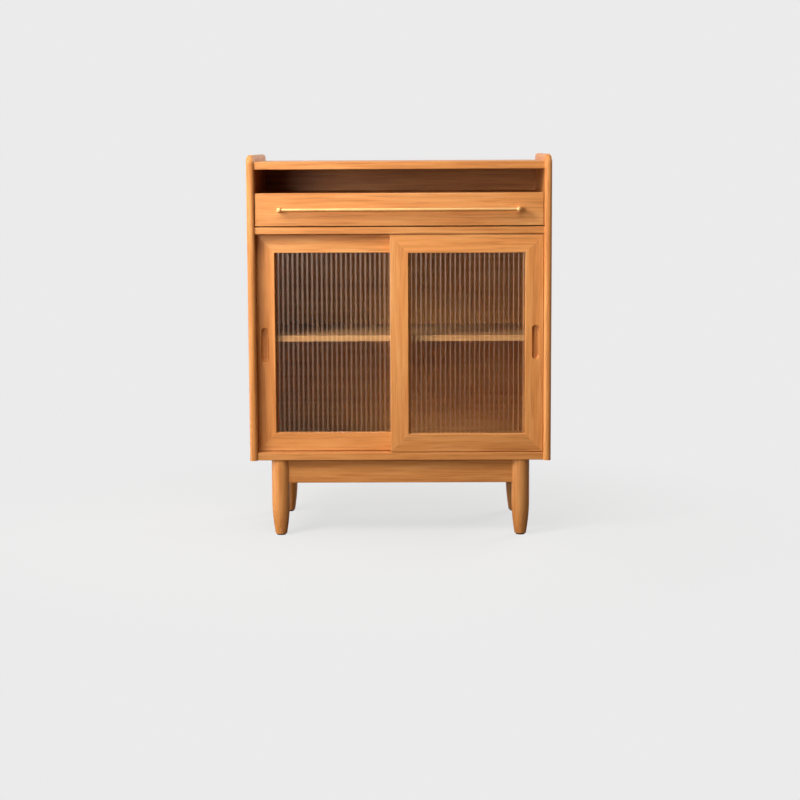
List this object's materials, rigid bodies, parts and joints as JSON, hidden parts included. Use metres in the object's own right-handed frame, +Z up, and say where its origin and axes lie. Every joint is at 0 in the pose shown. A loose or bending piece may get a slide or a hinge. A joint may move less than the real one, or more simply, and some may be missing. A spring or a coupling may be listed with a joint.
{
  "type": "storage cabinet",
  "caption": "Solid-wood storage cabinet on turned legs: open niche under a lipped top, wide drawer with a slim brass bar handle, by-pass doors of reeded glass.",
  "frame": {"origin": "middle of the floor under the bounding box, handle included", "axes": "+Z up, +Y to the back, +X to the right of someone facing the doors"},
  "size_m": [0.8, 0.4, 1.015],
  "materials": {
    "honey_wood": "satin oiled cherry-coloured wood",
    "inner_wood": "plain unstained wood",
    "reeded_glass": "clear glass with upright reeds",
    "handle_brass": "satin brass",
    "screw_steel": "plain steel",
    "glide_nylon": "dark nylon"
  },
  "bodies": {
    "case": {"left_side_panel": "honey_wood", "right_side_panel": "honey_wood", "top_board": "honey_wood", "niche_floor": "honey_wood", "door_head_board": "honey_wood", "bottom_board": "honey_wood", "back_panel": "honey_wood", "back_panel_screws": "screw_steel", "shelf": "honey_wood", "shelf_pins": "screw_steel", "front_left_leg": "honey_wood", "front_right_leg": "honey_wood", "back_left_leg": "honey_wood", "back_right_leg": "honey_wood", "front_apron": "honey_wood", "back_apron": "honey_wood", "left_apron": "honey_wood", "right_apron": "honey_wood", "corner_blocks": "inner_wood", "base_screws": "screw_steel", "foot_glides": "glide_nylon", "left_drawer_runner": "inner_wood", "right_drawer_runner": "inner_wood", "runner_screws": "screw_steel"},
    "left_door": {"left_door_outer_stile": "honey_wood", "left_door_inner_stile": "honey_wood", "left_door_top_rail": "honey_wood", "left_door_bottom_rail": "honey_wood", "left_door_mitre_tenons": "honey_wood", "left_door_glass": "reeded_glass", "left_door_glazing_beads": "honey_wood", "left_door_glides": "glide_nylon"},
    "right_door": {"right_door_outer_stile": "honey_wood", "right_door_inner_stile": "honey_wood", "right_door_top_rail": "honey_wood", "right_door_bottom_rail": "honey_wood", "right_door_mitre_tenons": "honey_wood", "right_door_glass": "reeded_glass", "right_door_glazing_beads": "honey_wood", "right_door_glides": "glide_nylon"},
    "drawer": {"drawer_front": "honey_wood", "drawer_left_side": "inner_wood", "drawer_right_side": "inner_wood", "drawer_back": "inner_wood", "drawer_bottom": "inner_wood", "drawer_bottom_screws": "screw_steel", "handle_bar": "handle_brass", "handle_posts": "handle_brass", "handle_screws": "screw_steel"}
  },
  "joints": [
    {"name": "left_door_slide", "type": "slide", "parent": "case", "child": "left_door", "axis": [1, 0, 0], "range_m": [0, 0.354]},
    {"name": "right_door_slide", "type": "slide", "parent": "case", "child": "right_door", "axis": [-1, 0, 0], "range_m": [0, 0.354]},
    {"name": "drawer_slide", "type": "slide", "parent": "case", "child": "drawer", "axis": [0, -1, 0], "range_m": [0, 0.24]}
  ]
}
